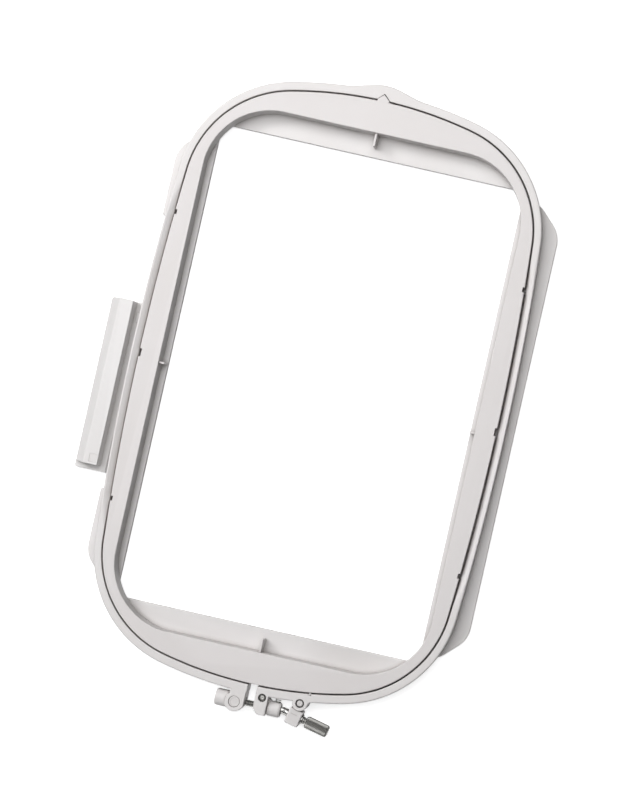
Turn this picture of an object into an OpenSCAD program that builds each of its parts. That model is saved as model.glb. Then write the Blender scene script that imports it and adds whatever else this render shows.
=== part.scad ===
// Hoop of an embroidery machine: an outer hoop with a base flange and a slide-in connector,
// an inner hoop that lifts out of it, and a screw clamp with a quick release on one short side.
// Origin: centre of the hoops, on the underside of the flange. +Y runs along the long side,
// away from the clamp; the connector is on the -X side; +Z is up.

/* [Hoop outline] */
// Half the width of the parting line between the two hoops
side_half = 96.5; // [80:0.5:110]
// Half the length of the parting line between the two hoops
end_half = 157; // [140:0.5:170]
// Radius of the slightly bowed long sides
side_r = 1400; // [900:50:2000]
// Radius of the bowed short sides
end_r = 220; // [180:5:300]
// Radius of the corners of the parting line
corner_r = 57; // [45:1:65]
// Gap between the inner and the outer hoop
hoop_gap = 0.8; // [0.6:0.1:1.6]

/* [Outer hoop] */
// Height of the outer wall
wall_h = 11; // [9.5:0.25:14]
// Thickness of the outer wall along the long sides
wall_t = 3.9; // [3.2:0.1:4.2]
// How much further out the outer wall stands at the short sides
wall_extra = 0.7; // [0:0.1:1.2]
// How far the top of the outer wall slopes down to the parting line along the long sides
slope_drop = 2.2; // [0.5:0.1:2.4]
// Thickness of the base flange
flange_t = 2.4; // [1.8:0.1:3]
// Half the width of the window in the flange
window_half_w = 82; // [70:0.1:83]
// Half the length of the window in the flange
window_half_l = 128; // [115:0.2:130]
// Corner radius of the window in the flange
window_r = 6; // [2:1:15]
// Half the width across the flange
flange_half_w = 103.8; // [103:0.1:106]
// How far the flange is offset away from the connector
flange_shift = 1.3; // [0:0.1:1.3]

/* [Inner hoop] */
// Half the width of the opening of the inner hoop
inner_half_w = 85; // [83:0.2:88]
// Half the length of the opening of the inner hoop
inner_half_l = 139.8; // [132:0.2:143]
// Corner radius of the opening of the inner hoop
inner_r = 36; // [25:1:45]
// Height of the top face of the inner hoop
inner_top = 11.6; // [11.2:0.1:13]
// Thickness of the top plate and of the walls of the inner hoop
inner_t = 2; // [1.6:0.1:2.4]

/* [Clamp] */
// Tilt of the thumbscrew against the short side, in degrees
screw_tilt = -13; // [-16:0.5:-8]
// Height of the clamp's axis above the underside
clamp_z = 5.5; // [5.4:0.05:5.6]
// Diameter of the tension rod
rod_d = 3.6; // [3:0.1:4]
// Diameter of the knob of the thumbscrew
knob_d = 6.6; // [5.5:0.1:8]
// Length of the knob of the thumbscrew
knob_l = 12.8; // [9:0.2:15]

/* [Connector] */
// X of the outer edge of the connector
connector_x = -118.7; // [-120:0.1:-118.2]
// Height of the connector
connector_h = 10.4; // [9:0.2:12]

/* [Hidden] */
$fn = 48;
over = 1;                       // how far a cut runs past the face it opens
run_fit = 0.05;                 // radial clearance of a shaft that turns in a hole
seat_fit = 0.02;                // radial clearance of a part that is fixed in its hole
out_d = hoop_gap / 2 + wall_t;  // outer face of the outer wall, measured from the parting line
in_d = hoop_gap / 2;            // inner face of the outer wall
slit = 0.4;                     // slit under the free wall of the clamp arm
nut_pos = [-7.3, -167.8];       // swivel nut in the lug of the clamp arm
knuckle_pos = [18.8, -167.8];   // knuckle between the tension rod and the fork nut
guide_pivot = [6.7, -162.7];    // pivot of the guide sleeve
release_pivot = [26.6, -161.3]; // pivot of the release block
connector_y = [-66, 26];        // the two ends of the connector
gap_x = [-2.2, 2.9];            // the two faces of the clamp gap
flex_y = -70;                   // where the free wall of the clamp arm begins
fork_z = [3.2, 7.8];            // slot between the two cheeks of a forked lug
ear_z = [3.4, 7.6];             // ears that turn in those slots
plastic = "#dbd8d6";
plastic_warm = "#d2cdcb";
steel = "#8b8b8c";

// ---- outline of the hoops ----
side_c = [side_half - side_r, 0];
end_c = [0, end_half - end_r];
// Centre of the corner arc: it touches both the side arc and the end arc from inside.
function meet(p, q, rp, rq) =
    let (d = norm(q - p), u = (q - p) / d, s = (rp * rp - rq * rq + d * d) / (2 * d))
    p + s * u + sqrt(rp * rp - s * s) * [-u.y, u.x];
corner_c = meet(side_c, end_c, side_r - corner_r, end_r - corner_r);
function heading(v) = atan2(v.y, v.x);
side_turn = heading(corner_c - side_c);
end_turn = heading(corner_c - end_c);
function arc(c, r, a, b, n, first = 0) =
    [for (i = [first:n]) c + r * [cos(a + (b - a) * i / n), sin(a + (b - a) * i / n)]];
// One quarter of the outline, moved outwards by d from the parting line.
function quarter(d) = concat(
    arc(side_c, side_r + d, 0, side_turn, 5),
    arc(corner_c, corner_r + d, side_turn, end_turn, 14, 1),
    arc(end_c, end_r + d, end_turn, 90, 7, 1));
function outline(d) =
    let (q = quarter(d), n = len(q))
    concat(q,
        [for (i = [n - 2:-1:0]) [-q[i].x, q[i].y]],
        [for (i = [1:n - 1]) [-q[i].x, -q[i].y]],
        [for (i = [n - 2:-1:1]) [q[i].x, -q[i].y]]);
// Outline of the outer face of the outer wall, which stands further out at the short sides
function outer_face(d = out_d) =
    let (k = (end_half + d + wall_extra) / (end_half + d)) [for (p = outline(d)) [p.x, k * p.y]];
// Middle of the outer wall where the clamp arm begins
mid_d = (in_d + out_d) / 2;
flex_pos = [-(side_c.x + sqrt(pow(side_r + mid_d, 2) - flex_y * flex_y)), flex_y];

module band(z0, z1) {
    translate([0, 0, z0]) linear_extrude(z1 - z0) children();
}
module ring_2d(outside, inside) {
    difference() {
        polygon(outside);
        polygon(inside);
    }
}
module soft_rect(half_w, half_l, r) {
    square(2 * [half_w - r, half_l], center = true);
    square(2 * [half_w, half_l - r], center = true);
    for (sx = [-1, 1], sy = [-1, 1])
        translate([sx * (half_w - r), sy * (half_l - r)]) circle(r, $fn = 64);
}
module span(x, y) {
    translate([x[0], y[0]]) square([x[1] - x[0], y[1] - y[0]]);
}
module post(p, r, z0, z1) {
    translate([p.x, p.y, z0]) cylinder(r = r, h = z1 - z0);
}
// A round bar along X through the clamp's axis, from x0 to x1
module rod_x(x0, x1, r, y = nut_pos.y) {
    translate([x0, y, clamp_z]) rotate([0, 90, 0]) cylinder(r = r, h = x1 - x0);
}
// Children in the frame of the thumbscrew: X along the screw, origin at the knuckle
module screw_frame() {
    translate([knuckle_pos.x, knuckle_pos.y, clamp_z]) rotate([0, 0, screw_tilt]) children();
}
module screw_bar(s0, s1, r) {
    screw_frame() translate([s0, 0, 0]) rotate([0, 90, 0]) cylinder(r = r, h = s1 - s0);
}

// ---- outer hoop ----
guide_boss_r = 2.15;            // counterbore for the retaining ring of the guide pin
release_boss_r = 2.3;           // counterbore for the retaining ring of the release pin
boss_depth = 1.1;
guide_pin_r = 1.25;
release_pin_r = 1.6;
leg_r = 4;                      // round end of the leg that carries the release block
bump_half = 21;                 // half the length of the swelling opposite the clamp
bump_h = 3.4;                   // how far it stands out
flange_y = [74, 110];           // the flange's short stretches on the connector side
chamfer = [14.5, 14.5];         // how far the flange's corners are cut, in X and in Y
spring_x = 14.6;
spring_r = 1.9;                 // pocket of the return spring
spring_end_y = -160.4;          // bottom of the pocket in the wall
mark_y = [76.4, 0.3, -77.7];    // small recesses along the parting line

// The flange stands out along the whole side away from the connector, and in two short stretches
// on either side of the connector
module flange_2d() {
    far = flange_half_w + flange_shift;
    near = flange_shift - flange_half_w;
    tip = flange_y[1] + chamfer.y;
    polygon(outer_face());
    polygon([[0, -tip], [far - chamfer.x, -tip], [far, -flange_y[1]], [far, flange_y[1]],
        [far - chamfer.x, tip], [0, tip]]);
    for (s = [-1, 1])
        polygon([[0, s * flange_y[0]], [near, s * flange_y[0]], [near, s * flange_y[1]],
            [near + chamfer.x, s * tip], [0, s * tip]]);
}
// Y of the outer face of the wall at x, near the middle of a short side
function end_face(x) = end_half + out_d + wall_extra - x * x / (2 * (end_r + out_d));
module bump_2d() {
    steps = 16;
    polygon(concat([[bump_half, end_half], [-bump_half, end_half]],
        [for (i = [0:steps]) let (x = bump_half * (2 * i / steps - 1))
            [x, end_face(x) - 0.05 + bump_h * (1 + cos(180 * x / bump_half)) / 2]]));
}
lug_x = [gap_x[1], 9.9];        // right-hand lug
lug_y = -171.9;
root_y = -158.6;                // where the lugs and the leg merge with the wall
module right_lug_2d() {
    polygon([[lug_x[0], root_y], [lug_x[0], lug_y + 2.9], [lug_x[0] + 2.5, lug_y],
        [lug_x[1], lug_y], [lug_x[1], root_y]]);
}
module leg_2d() {
    translate(release_pivot) circle(leg_r);
    polygon([[release_pivot.x - leg_r, root_y + 0.4], [release_pivot.x - leg_r, release_pivot.y],
        [release_pivot.x + leg_r, release_pivot.y], [release_pivot.x + leg_r + 0.8, root_y + 1.4]]);
}
// The top of the outer wall slopes down towards the parting line along both long sides
slope_turn = 3.6;               // degrees of the side arc, either way from the middle
module side_slopes() {
    for (s = [0, 180])
        rotate([0, 0, s]) translate(side_c) rotate([0, 0, -slope_turn])
            rotate_extrude(angle = 2 * slope_turn, $fn = 720)
                polygon([[side_r + in_d - 0.3, wall_h - slope_drop], [side_r + out_d - 0.5, wall_h],
                    [side_r + out_d - 0.5, wall_h + over], [side_r + in_d - 0.3, wall_h + over]]);
}
// Plan of the wall that is free to bend: everything below and left of these lines
module arm_zone_2d() {
    translate([-150, -200]) square([150 + gap_x[0], 200 + flex_y]);
}
module outer_frame() {
    color(plastic) difference() {
        union() {
            band(0, flange_t) difference() {
                flange_2d();
                soft_rect(window_half_w, window_half_l, window_r);
            }
            band(0, wall_h) difference() {
                union() {
                    ring_2d(outer_face(), outline(in_d));
                    difference() {
                        bump_2d();
                        polygon(outline(in_d));
                    }
                    right_lug_2d();
                    leg_2d();
                }
                arm_zone_2d();
            }
        }
        side_slopes();
        // clamp gap, and the room in which the clamp arm's end turns
        band(-over, wall_h + over) span(gap_x, [-180, 0.4 - end_half]);
        post(flex_pos, wall_t / 2 + 0.15, flange_t, wall_h + over);
        // slots of the two forks
        band(fork_z[0], fork_z[1]) {
            span(lug_x + [-over, over], [lug_y - over, guide_pivot.y + ear_r + 0.4]);
            span([release_pivot.x - leg_r - 1.5, release_pivot.x + leg_r + 1.5],
                [release_pivot.y - leg_r - 2, release_pivot.y + ear_r + 0.2]);
        }
        post(guide_pivot, guide_pin_r + seat_fit, -over, wall_h + over);
        post(release_pivot, release_pin_r + seat_fit, -over, wall_h + over);
        post(guide_pivot, guide_boss_r, wall_h - boss_depth, wall_h + over);
        post(release_pivot, release_boss_r, wall_h - boss_depth, wall_h + over);
        // pocket of the return spring
        translate([spring_x, spring_end_y, clamp_z]) rotate([90, 0, 0]) cylinder(r = spring_r, h = 4);
        // seat of the inner hoop's pointer
        translate([-notch.x / 2, end_half - 2, plate_z - 2.6]) cube([notch.x, notch.y, 6]);
        // recess and screw holes of the connector bracket
        band(-over, tongue_t + 0.1) span([tongue_x[0] - 1, tongue_x[1] + 0.4], tongue_y + [-0.4, 0.4]);
        for (y = bracket_screw_y) post([screw_x, y], screw_r + seat_fit, 0, bracket_screw_top + 0.4);
    }
}

// ---- clamp arm ----
nut_r = 3;
rod_slot = [5.6, 4.2];          // slot in which the rod swings, along Y and Z
lug_r = 5.2;
arm_lug_x = -10.6;              // left side of the arm's lug
module clamp_arm() {
    color(plastic) difference() {
        union() {
            band(flange_t + slit, wall_h) {
                intersection() {
                    ring_2d(outer_face(), outline(in_d));
                    arm_zone_2d();
                }
                translate(flex_pos) circle(wall_t / 2);
                polygon([[arm_lug_x, root_y], [gap_x[0], root_y], [gap_x[0], -163], [arm_lug_x, -163]]);
            }
            band(0, wall_h) {
                translate(nut_pos) circle(lug_r);
                polygon([[arm_lug_x, -162.5], [gap_x[0], -162.5], [gap_x[0], nut_pos.y - 1.5],
                    nut_pos + [3.2, -4], nut_pos, [arm_lug_x, nut_pos.y + 3.4]]);
            }
        }
        side_slopes();
        post(nut_pos, nut_r + run_fit, -over, wall_h + over);
        // slot in which the rod swings
        band(clamp_z - rod_slot[1] / 2, clamp_z + rod_slot[1] / 2)
            span([nut_pos.x - 8, gap_x[0] + over],
                [nut_pos.y - rod_slot[0] / 2, nut_pos.y + rod_slot[0] / 2]);
    }
}

// ---- inner hoop ----
inner_z = flange_t + 0.2;       // the inner hoop rests just above the flange
plate_z = inner_top - inner_t;
rib_t = 1.6;
side_rib_y = [-96, -72, -48, -24, 0, 24, 48, 72, 96];
end_rib_x = [-54, -36, -18, 0, 18, 36, 54];
fin_l = 7;
side_fin_l = 4.6;
fin_t = 1.2;
side_fin_y = -2.6;
pointer_half = 3.1;
pointer_y = [end_half + 0.5, end_half + 3.3];
notch = [7.2, 6];             // seat of the pointer in the outer hoop, in X and in Y

module inner_opening_2d(d = 0) {
    soft_rect(inner_half_w + d, inner_half_l + d, inner_r + d);
}
module inner_frame() {
    color(plastic_warm) difference() {
        union() {
            band(plate_z, inner_top) difference() {
                polygon(outline(-in_d));
                inner_opening_2d();
            }
            band(inner_z, plate_z) {
                ring_2d(outline(-in_d), outline(-in_d - inner_t));
                difference() {
                    inner_opening_2d(inner_t);
                    inner_opening_2d();
                }
            }
            // stiffening ribs under the top plate
            band(inner_z + 1.6, plate_z) difference() {
                intersection() {
                    union() {
                        for (y = side_rib_y) span([-side_half, side_half], [y, y + rib_t]);
                        for (x = end_rib_x) span([x - rib_t / 2, x + rib_t / 2], [-end_half, end_half]);
                    }
                    polygon(outline(-in_d - inner_t / 2));
                }
                inner_opening_2d(inner_t / 2);
            }
            // centre marks on the wall of the opening
            band(inner_z, plate_z + 0.6) for (s = [0, 180]) {
                rotate([0, 0, s]) span([-fin_t / 2, fin_t / 2], [inner_half_l - fin_l, inner_half_l + 1]);
                translate([0, side_fin_y]) rotate([0, 0, s])
                    span([inner_half_w - side_fin_l, inner_half_w + 1], [-fin_t / 2, fin_t / 2]);
            }
            // pointer that finds the notch in the outer hoop
            band(plate_z, inner_top) polygon([[-pointer_half, end_half - 1.5],
                [-pointer_half, pointer_y[0]], [0, pointer_y[1]], [pointer_half, pointer_y[0]],
                [pointer_half, end_half - 1.5]]);
        }
        // small recesses along the long sides
        for (s = [-1, 1], y = mark_y)
            translate([s * (side_half - in_d - pow(y, 2) / (2 * side_r)), y, wall_h / 2])
                cube([2.2, y == mark_y[1] ? 4.2 : 2.6, wall_h + 4], center = true);
    }
}

// ---- connector ----
tongue_t = 1.6;
tongue_x = [-103, -94.4];
tongue_y = [-60, 20];
screw_x = -98.9;
screw_r = 1.25;
screw_head_r = 2.3;
cover_head_r = 1.9;
socket = [0.8, 0.6];            // hexagonal socket of the screws, radius and depth
screw_head_h = 1;
bracket_screw_y = [-54, -32, -8, 14];
bracket_screw_top = 8;
block_x = [-112.6, -105.1];     // top of the raised block
block_y = [connector_y[0] + 3.2, connector_y[1]];
shell_t = 1.8;
end_wall = 2.4;
rim_z = flange_t + seat_fit;    // the cover stands on the base plate
cover_screw_y = [-50, -20, 10];
cover_screw_x = -114.2;
boss_top = 6.4;
boss_r = 2.1;

module connector_bracket() {
    color(plastic) difference() {
        union() {
            band(0, flange_t) difference() {
                span([connector_x, tongue_x[0] + 1.2], connector_y);
                polygon(outer_face(out_d + 0.15));
            }
            band(0, tongue_t) span([tongue_x[0] - 0.6, tongue_x[1]], tongue_y);
            // low pad beside the block
            band(flange_t - 0.1, flange_t + 0.5) span([-103.9, -102.4], [15.6, 20.8]);
        }
        for (y = bracket_screw_y) {
            post([screw_x, y], screw_r + seat_fit, -over, 4);
            post([screw_x, y], screw_head_r + seat_fit, -over, screw_head_h);
        }
        for (y = cover_screw_y) {
            post([cover_screw_x, y], screw_r + seat_fit, -over, 4);
            post([cover_screw_x, y], cover_head_r + seat_fit, -over, screw_head_h);
        }
    }
}
// Section of the raised block: its outer long face slopes
module block_section(inset) {
    rim = inset > 0 ? -over : 0;
    polygon([[connector_x + 0.2 + 1.6 * inset, rim_z + rim],
        [block_x[0] + 0.45 * inset, connector_h - inset],
        [block_x[1] - inset, connector_h - inset], [block_x[1] - inset, rim_z + rim]]);
}
module along_block(y0, y1) {
    translate([0, y1, 0]) rotate([90, 0, 0]) linear_extrude(y1 - y0) children();
}
module connector_cover() {
    color(plastic) difference() {
        union() {
            difference() {
                along_block(block_y[0], block_y[1]) block_section(0);
                along_block(block_y[0] - over, block_y[1] - end_wall) block_section(shell_t);
            }
            // screw bosses, cut off where they meet the sloped face
            intersection() {
                along_block(block_y[0], block_y[1]) block_section(0);
                for (y = cover_screw_y) post([cover_screw_x, y], boss_r, rim_z, boss_top);
            }
        }
        for (y = cover_screw_y) post([cover_screw_x, y], screw_r + seat_fit, 0, boss_top - 1);
        // shallow square recess near the open end
        translate([-109.8, -61.6, connector_h - 0.3]) cube([4, 4.6, 1]);
    }
}
module self_tapping_screw(p, head_r, top) {
    difference() {
        union() {
            post(p, head_r, 0, screw_head_h);
            post(p, screw_r, screw_head_h - 0.1, top);
        }
        post(p, socket[0], -over, socket[1], $fn = 6);
    }
}
module bracket_screws() {
    color(steel) for (y = bracket_screw_y)
        self_tapping_screw([screw_x, y], screw_head_r, bracket_screw_top);
}
module cover_screws() {
    color(steel) for (y = cover_screw_y)
        self_tapping_screw([cover_screw_x, y], cover_head_r, boss_top - 1.3);
}

// ---- rod and its nut ----
sleeve_x = [-18.1, arm_lug_x - 0.7];
sleeve_r = 4.5;
eye_r = 1.9;
eye_t = 1.6;
eye_hole_r = 1.25;
neck = 2.9;                     // from the knuckle to the full thickness of the rod

module swivel_nut() {
    color(plastic_warm) difference() {
        post(nut_pos, nut_r, 0.2, wall_h - 0.2);
        rod_x(-20, 0, rod_d / 2 + seat_fit);
    }
}
module rod_sleeve() {
    color(plastic) difference() {
        union() {
            rod_x(sleeve_x[0] + 0.6, sleeve_x[1], sleeve_r);
            rod_x(sleeve_x[0], sleeve_x[0] + 0.7, sleeve_r - 0.5);
        }
        rod_x(sleeve_x[0] + 1.2, 0, rod_d / 2 + seat_fit);
        // its end is hollow, so that it turns round the lug
        post(nut_pos, lug_r + 0.2, 0, wall_h);
    }
}
module tension_rod() {
    color(steel) difference() {
        union() {
            rod_x(sleeve_x[0] + 1.3, knuckle_pos.x - neck, rod_d / 2);
            intersection() {
                rod_x(knuckle_pos.x - neck - 1, knuckle_pos.x + eye_r + 1, rod_d / 2 + 0.4);
                union() {
                    post(knuckle_pos, eye_r, clamp_z - eye_t / 2, clamp_z + eye_t / 2);
                    translate([knuckle_pos.x - neck - 0.5, knuckle_pos.y - 1.4, clamp_z - eye_t / 2])
                        cube([neck + 0.5, 2.8, eye_t]);
                }
            }
        }
        post(knuckle_pos, eye_hole_r, 0, wall_h);
    }
}

// ---- guide sleeve ----
guide_x = [lug_x[1] + 0.2, 17];
guide_r = 4.1;
bore_r = rod_d / 2 + 0.5;
mouth_r = 3;                    // the sleeve's end is wider, to make room for the fork nut
mouth_l = 3;
ear_r = 2.6;
module guide_sleeve() {
    color(plastic) difference() {
        union() {
            rod_x(guide_x[0], guide_x[1] - 1, guide_r);
            translate([guide_x[1] - 1, nut_pos.y, clamp_z]) rotate([0, 90, 0])
                cylinder(r1 = guide_r, r2 = guide_r - 0.6, h = 1);
            band(ear_z[0], ear_z[1]) {
                translate(guide_pivot) circle(ear_r);
                polygon([guide_pivot + [0.6, 2.52], [guide_x[0] + 1.6, nut_pos.y + 3.7],
                    [guide_x[0] + 1.6, nut_pos.y + 2.6], guide_pivot + [-0.6, -2.52]]);
            }
        }
        post(guide_pivot, guide_pin_r + run_fit, 0, wall_h);
        rod_x(0, 20, bore_r);
        rod_x(guide_x[1] - mouth_l, guide_x[1] + over, mouth_r);
        // seat of the return spring
        translate([spring_x, nut_pos.y + guide_r - 0.6, clamp_z]) rotate([-90, 0, 0])
            cylinder(r = spring_r, h = 3);
    }
}
module pivot_pin(p, r, top) {
    post(p, r, 0.3, top);
}
module guide_pin() {
    color(steel) pivot_pin(guide_pivot, guide_pin_r, wall_h - 0.4);
}
module release_pin() {
    color(plastic_warm) pivot_pin(release_pivot, release_pin_r, wall_h - 0.3);
}
module retaining_ring(p, r_in, r_out) {
    color(steel) difference() {
        post(p, r_out, wall_h - boss_depth + 0.02, wall_h - boss_depth + 0.5);
        post(p, r_in + seat_fit, 0, wall_h);
    }
}
module guide_pin_ring() {
    retaining_ring(guide_pivot, guide_pin_r, guide_boss_r - 0.1);
}
module release_pin_ring() {
    retaining_ring(release_pivot, release_pin_r, release_boss_r - 0.1);
}

// ---- return spring ----
spring_wire = 0.4;
spring_turns = 4;
spring_y = [spring_end_y - 0.3, nut_pos.y + guide_r - 0.3];
module return_spring() {
    pitch = (spring_y[0] - spring_y[1]) / spring_turns;
    // each turn is drawn as a closed ring of wire, one pitch from the next
    color(steel) for (i = [0:spring_turns])
        translate([spring_x, spring_y[1] + i * pitch, clamp_z]) rotate([90, 0, 0])
            rotate_extrude() translate([spring_r - 0.5, 0]) circle(spring_wire / 2, $fn = 16);
}

// ---- release block, fork nut and thumbscrew ----
block_s = [2.4, 9.9];           // ends of the block along the screw
block_t = [-4.5, 4.3];          // and its two sides
block_half_z = 4.15;
fork_r = 2.1;
nut_end = 6.8;
knuckle_r = 0.8;                // pin of the knuckle
knuckle_l = 3.7;
slot_w = 1;                     // screwdriver slot in the knob's end
slot_depth = 1.4;
shank_r = 1.5;
washer_s = [9.95, 10.65];
knob_s = 12.7;
collar_r = 2;
edge = 0.7;                     // chamfer along the knob's and the block's edges

module release_block() {
    color(plastic) difference() {
        union() {
            difference() {
                screw_frame() rotate([90, 0, 90]) translate([0, 0, block_s[0]])
                    linear_extrude(block_s[1] - block_s[0]) polygon([
                        [block_t[0], edge - block_half_z], [block_t[0] + edge, -block_half_z],
                        [block_t[1] - edge, -block_half_z], [block_t[1], edge - block_half_z],
                        [block_t[1], block_half_z - edge], [block_t[1] - edge, block_half_z],
                        [block_t[0] + edge, block_half_z], [block_t[0], block_half_z - edge]]);
                post(release_pivot, leg_r + 0.3, -over, wall_h + over);
            }
            band(ear_z[0], ear_z[1]) {
                translate(release_pivot) circle(ear_r);
                polygon([release_pivot + [-ear_r, 0], release_pivot + [-3.6, -4],
                    release_pivot + [2, -5.4],
                    release_pivot + [ear_r, 0]]);
            }
        }
        post(release_pivot, release_pin_r + run_fit, 0, wall_h);
        screw_bar(0, nut_end + 0.3, fork_r + seat_fit);
        screw_bar(0, 20, shank_r + 0.1);
        // fine groove across the top face
        screw_frame() translate([4, 1.2, block_half_z - 0.3]) cube([3.4, 0.5, 1]);
    }
}
module fork_nut() {
    color(steel) difference() {
        intersection() {
            screw_bar(-fork_r, nut_end, fork_r);
            union() {
                post(knuckle_pos, fork_r, 0, wall_h);
                screw_frame() translate([0, -5, -5]) cube(10);
            }
        }
        screw_frame() translate([-4, -4, -eye_t / 2 - 0.15]) cube([4 + eye_r + 0.7, 8, eye_t + 0.3]);
        screw_bar(eye_r, nut_end + over, shank_r + seat_fit);
        post(knuckle_pos, knuckle_r + seat_fit, 0, wall_h);
    }
}
module knuckle_pin() {
    color(steel) post(knuckle_pos, knuckle_r, clamp_z - knuckle_l / 2, clamp_z + knuckle_l / 2);
}
module thrust_washer() {
    color(steel) difference() {
        screw_bar(washer_s[0], washer_s[1], 2.9);
        screw_bar(0, 20, shank_r + run_fit);
    }
}
module thumbscrew() {
    color(steel) difference() {
        union() {
            screw_bar(eye_r + 0.8, washer_s[1] + 0.1, shank_r);
            screw_bar(washer_s[1] + 0.05, knob_s + 0.1, collar_r);
            screw_bar(knob_s + edge, knob_s + knob_l - edge, knob_d / 2);
            screw_frame() translate([knob_s, 0, 0]) rotate([0, 90, 0])
                cylinder(r1 = knob_d / 2 - edge, r2 = knob_d / 2, h = edge);
            screw_frame() translate([knob_s + knob_l - edge, 0, 0]) rotate([0, 90, 0])
                cylinder(r1 = knob_d / 2, r2 = knob_d / 2 - edge, h = edge);
        }
        screw_frame() translate([knob_s + knob_l - slot_depth, -knob_d, -slot_w / 2])
            cube([slot_depth + over, 2 * knob_d, slot_w]);
    }
}

outer_frame();
clamp_arm();
inner_frame();
connector_bracket();
connector_cover();
bracket_screws();
cover_screws();
swivel_nut();
rod_sleeve();
tension_rod();
guide_sleeve();
guide_pin();
guide_pin_ring();
return_spring();
release_block();
release_pin();
release_pin_ring();
fork_nut();
knuckle_pin();
thrust_washer();
thumbscrew();
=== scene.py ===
"""Looks of an embroidery machine hoop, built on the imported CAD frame.

Pieces are made in millimetres in the row frame (origin under the centre of the hoops, +Y away from
the clamp, connector on -X, +Z up) and scaled to metres when they are finished.
"""
import math

import bmesh
import bpy
import numpy as np
from mathutils import Matrix, Vector


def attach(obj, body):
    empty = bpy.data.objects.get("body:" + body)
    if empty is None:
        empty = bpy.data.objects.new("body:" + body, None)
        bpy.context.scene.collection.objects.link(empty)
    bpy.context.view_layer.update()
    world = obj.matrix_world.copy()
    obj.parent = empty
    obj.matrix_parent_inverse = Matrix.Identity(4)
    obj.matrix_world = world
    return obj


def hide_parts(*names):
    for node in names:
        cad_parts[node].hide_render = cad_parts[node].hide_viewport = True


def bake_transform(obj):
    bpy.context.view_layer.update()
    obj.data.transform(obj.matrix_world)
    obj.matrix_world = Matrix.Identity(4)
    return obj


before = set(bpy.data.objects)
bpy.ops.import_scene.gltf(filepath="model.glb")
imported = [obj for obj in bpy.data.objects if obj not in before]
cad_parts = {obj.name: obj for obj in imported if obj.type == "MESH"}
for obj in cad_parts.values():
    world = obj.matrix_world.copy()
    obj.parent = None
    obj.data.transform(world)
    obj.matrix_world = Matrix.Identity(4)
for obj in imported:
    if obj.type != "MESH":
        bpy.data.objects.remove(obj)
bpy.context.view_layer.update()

MM = 0.001
HALF_TURN = math.pi
QUARTER_TURN = math.pi / 2

# ---------------------------------------------------------------- driving dimensions, in millimetres
SIDE_HALF, END_HALF = 96.5, 157.0         # half width and half length of the parting line
SIDE_R, END_R, CORNER_R = 1400.0, 220.0, 57.0
HOOP_GAP = 0.8
WALL_H, WALL_T = 11.0, 3.9
WALL_EXTRA = 0.7                          # how much further out the wall stands at the short sides
SLOPE_DROP = 2.2                          # how far the wall's top slopes to the gap along the sides
SLOPE_BEND = 1.5                          # more than 1 makes that slope bulge
SLOPE_Y = (75.0, 95.0)                    # full slope up to the first, none past the second
FLANGE_T = 2.4
WINDOW_HALF, WINDOW_R = (82.0, 128.0), 6.0
FLANGE_NEAR, FLANGE_FAR = -102.5, 105.1   # its edges on the connector's side and on the other side
FLANGE_Y = (74.0, 110.0)                  # the wings lie between these distances from the middle
FLANGE_CUT, WING_R = (14.5, 14.5), 6.0    # slanting corners of the wings, and their rounding
BUMP_HALF, BUMP_H = 21.0, 3.4             # swelling opposite the clamp
IN_D, OUT_D = HOOP_GAP / 2, HOOP_GAP / 2 + WALL_T   # faces of the wall, from the parting line

OPENING_HALF, OPENING_R = (85.0, 139.8), 36.0
INNER_TOP, INNER_T, INNER_FLOOR = 11.6, 2.0, FLANGE_T + 0.2
FIN_T, END_FIN, SIDE_FIN, SIDE_FIN_Y = 1.2, 7.0, 2.8, -2.6   # fins that mark the centre lines
MARK_Y, MARK_HALF, MARK_DEPTH = (76.4, 0.3, -77.7), (1.3, 2.1, 1.3), 1.1

CLAMP_Z = 5.5                             # height of the clamp's axis
NUT = np.array([-7.3, -167.8])            # the clamp's four pivots
KNUCKLE = np.array([18.8, -167.8])
GUIDE_PIVOT = np.array([6.7, -162.7])
RELEASE_PIVOT = np.array([26.6, -161.3])
SCREW_TILT = math.radians(-13)            # of the thumbscrew against the short side
GAP_X = (-2.2, 2.9)                       # faces of the clamp gap
FLEX_Y = -70.0                            # where the free wall of the clamp arm begins
LUG_X, LUG_Y, ROOT_Y = (2.9, 9.9), -171.9, -158.6
ARM_LUG_X = -10.6
FORK_Z, EAR_Z = (3.2, 7.8), (3.4, 7.6)    # slots in lug and leg, and the ears that turn in them
ROD_R = 1.8
EAR_R = 2.6
SPRING_X, SPRING_Y, SPRING_SEAT_R = 14.6, (-164.3, -160.7), 1.9

CONNECTOR_X, CONNECTOR_Y, CONNECTOR_H = -118.7, (-66.0, 26.0), 10.4
TONGUE_X, TONGUE_Y, TONGUE_T = (-103.0, -94.4), (-60.0, 20.0), 1.6
PAD_X, PAD_Y = (-103.9, -102.4), (15.6, 20.8)
BLOCK_X, BLOCK_Y = (-112.6, -105.1), (-62.8, 26.0)
RECESS_X, RECESS_Y, RECESS_DEPTH = (-109.8, -105.8), (-61.6, -57.0), 0.2
SHELL_T, END_WALL = 1.8, 2.4
BRACKET_SCREWS = [(-98.9, y) for y in (-54, -32, -8, 14)]
COVER_SCREWS = [(-114.2, y) for y in (-50, -20, 10)]
SCREW_R, SCREW_HEAD_H = 1.25, 1.0

OVER = 1.0                                # how far a cutter runs past the face it opens
BEYOND = 200.0                            # clear of the whole hoop
SHARP = 0.01                              # stands for no rounding in a list of roundings
FLANGE_EDGES = (0.5, 0.3)                 # rounding of top and bottom edges


# ---------------------------------------------------------------- outlines
def arc(centre, radius, start, end, steps):
    angles = np.linspace(start, end, steps + 1)
    return np.asarray(centre) + radius * np.column_stack((np.cos(angles), np.sin(angles)))


def circle(centre, radius, steps=48):
    return arc(centre, radius, 0, 2 * HALF_TURN, steps)[:-1]


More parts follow.
